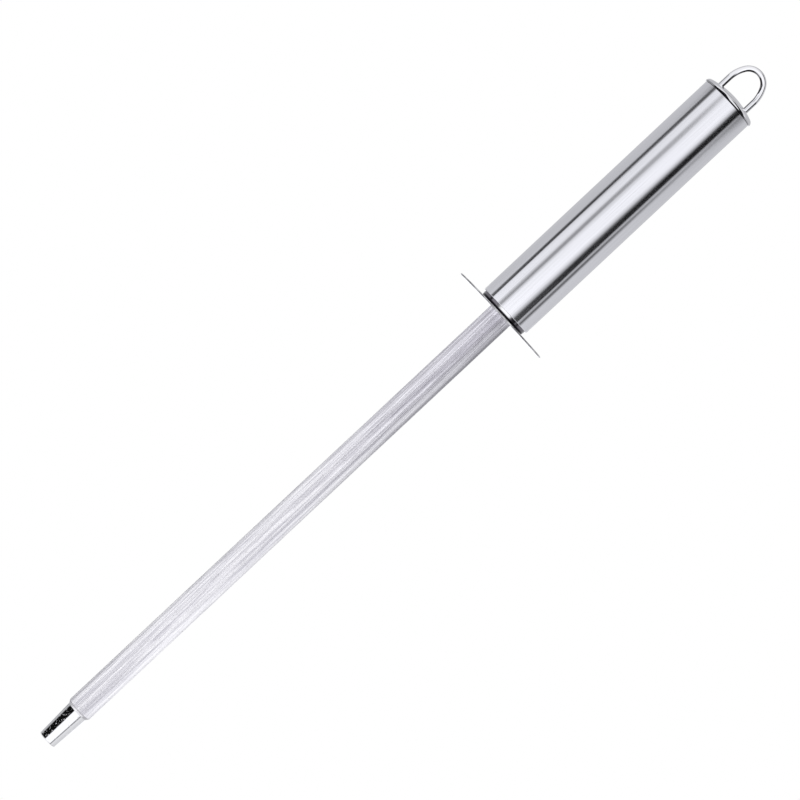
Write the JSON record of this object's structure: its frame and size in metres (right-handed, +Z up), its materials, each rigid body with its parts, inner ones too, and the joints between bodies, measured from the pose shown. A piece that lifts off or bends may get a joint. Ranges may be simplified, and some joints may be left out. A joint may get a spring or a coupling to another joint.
{
  "type": "knife sharpening steel",
  "caption": "Long ribbed sharpening rod with a smooth tapered tip, a thin round hand guard and a tubular steel handle with a wire hanging loop.",
  "frame": {"origin": "highest inside point of the hanging loop's bend, where a hook carries the steel", "axes": "+Z up along the steel's axis, from the tip to the hanging loop; X across the loop's width; Y normal to the loop's plane"},
  "size_m": [0.056, 0.056, 0.4729],
  "materials": {
    "rod_steel": "hard chrome plated, fine lengthwise ribs, polished tip",
    "guard_steel": "bright rolled stainless sheet",
    "cap_steel": "drawn and mirror polished",
    "tube_steel": "lengthwise satin polish",
    "wire_steel": "bright drawn wire",
    "zinc_plate": "zinc plated",
    "plain_steel": "plain rolled plate"
  },
  "bodies": {
    "root": {"sharpening_rod": "rod_steel", "guard_disc": "guard_steel", "front_cap": "cap_steel", "rear_cap": "cap_steel", "handle_tube": "tube_steel", "hanging_loop": "wire_steel", "backing_washer": "zinc_plate", "spring_washer": "zinc_plate", "tang_nut": "zinc_plate", "loop_anchor_plate": "plain_steel"}
  },
  "joints": []
}
